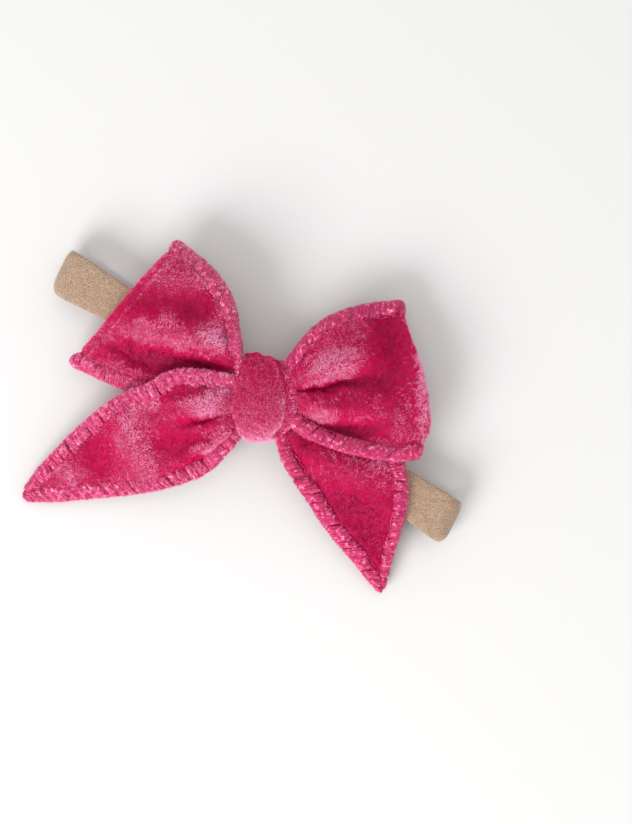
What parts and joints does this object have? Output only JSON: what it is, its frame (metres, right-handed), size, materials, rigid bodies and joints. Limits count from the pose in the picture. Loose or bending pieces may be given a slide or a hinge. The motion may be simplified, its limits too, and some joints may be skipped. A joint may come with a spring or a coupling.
{
  "type": "bow headband",
  "caption": "Tied velvet bow with two folded loops and two pointed tails, overlocked edges and a centre knot, on a soft nylon headband ring.",
  "frame": {"origin": "on the outer face of the band's back run, straight below the knot", "axes": "+X along the headband, +Z out of the front of the bow"},
  "size_m": [0.1183, 0.0938, 0.0194],
  "materials": {
    "velvet": "crushed velvet, cerise pink with pale sheen",
    "overlock_thread": "twisted overlock thread, slight lustre",
    "sewing_thread": "matt polyester thread",
    "nylon_knit": "matt fine knit nylon, beige"
  },
  "bodies": {
    "core": {"knot_wrap": "velvet", "knot_wrap_edging": "overlock_thread", "knot_wrap_flap": "velvet", "gathered_core": "velvet", "gather_thread": "sewing_thread", "wrap_stitch_1": "sewing_thread", "wrap_stitch_2": "sewing_thread", "wrap_stitch_3": "sewing_thread", "band_front_run": "nylon_knit", "band_left_fold": "nylon_knit", "band_right_fold": "nylon_knit"},
    "band_back": {"band_back_run": "nylon_knit"},
    "left_loop_body": {"left_loop": "velvet", "left_loop_top_edging": "overlock_thread", "left_loop_bottom_edging": "overlock_thread"},
    "left_tail_body": {"left_tail": "velvet", "left_tail_upper_edging": "overlock_thread", "left_tail_lower_edging": "overlock_thread"},
    "right_tail_body": {"right_tail": "velvet", "right_tail_right_edging": "overlock_thread", "right_tail_left_edging": "overlock_thread"},
    "right_loop_body": {"right_loop": "velvet", "right_loop_top_edging": "overlock_thread", "right_loop_bottom_edging": "overlock_thread"}
  },
  "joints": [
    {"name": "band_open", "type": "slide", "parent": "core", "child": "band_back", "axis": [0, 0, -1], "range_m": [0, 0.04], "stiffness_N_per_m": 20, "deforming": ["band_left_fold", "band_right_fold"]},
    {"name": "left_loop_flex", "type": "hinge", "parent": "core", "child": "left_loop_body", "pos_m": [-0.00637, -0.00414, 0.0182], "axis": [-0.5446, 0.8387, 0], "range_deg": [0, 20], "stiffness_Nm_per_rad": 0.003},
    {"name": "left_tail_flex", "type": "hinge", "parent": "left_loop_body", "child": "left_tail_body", "pos_m": [-0.00637, -0.00414, 0.0182], "axis": [-0.5446, 0.8387, 0], "range_deg": [0, 30], "stiffness_Nm_per_rad": 0.003},
    {"name": "right_tail_flex", "type": "hinge", "parent": "core", "child": "right_tail_body", "pos_m": [0.00671, 0.00436, 0.0174], "axis": [0.5446, -0.8387, 0], "range_deg": [0, 20], "stiffness_Nm_per_rad": 0.003},
    {"name": "right_loop_flex", "type": "hinge", "parent": "right_tail_body", "child": "right_loop_body", "pos_m": [0.00671, 0.00436, 0.0174], "axis": [0.5446, -0.8387, 0], "range_deg": [0, 30], "stiffness_Nm_per_rad": 0.003}
  ]
}
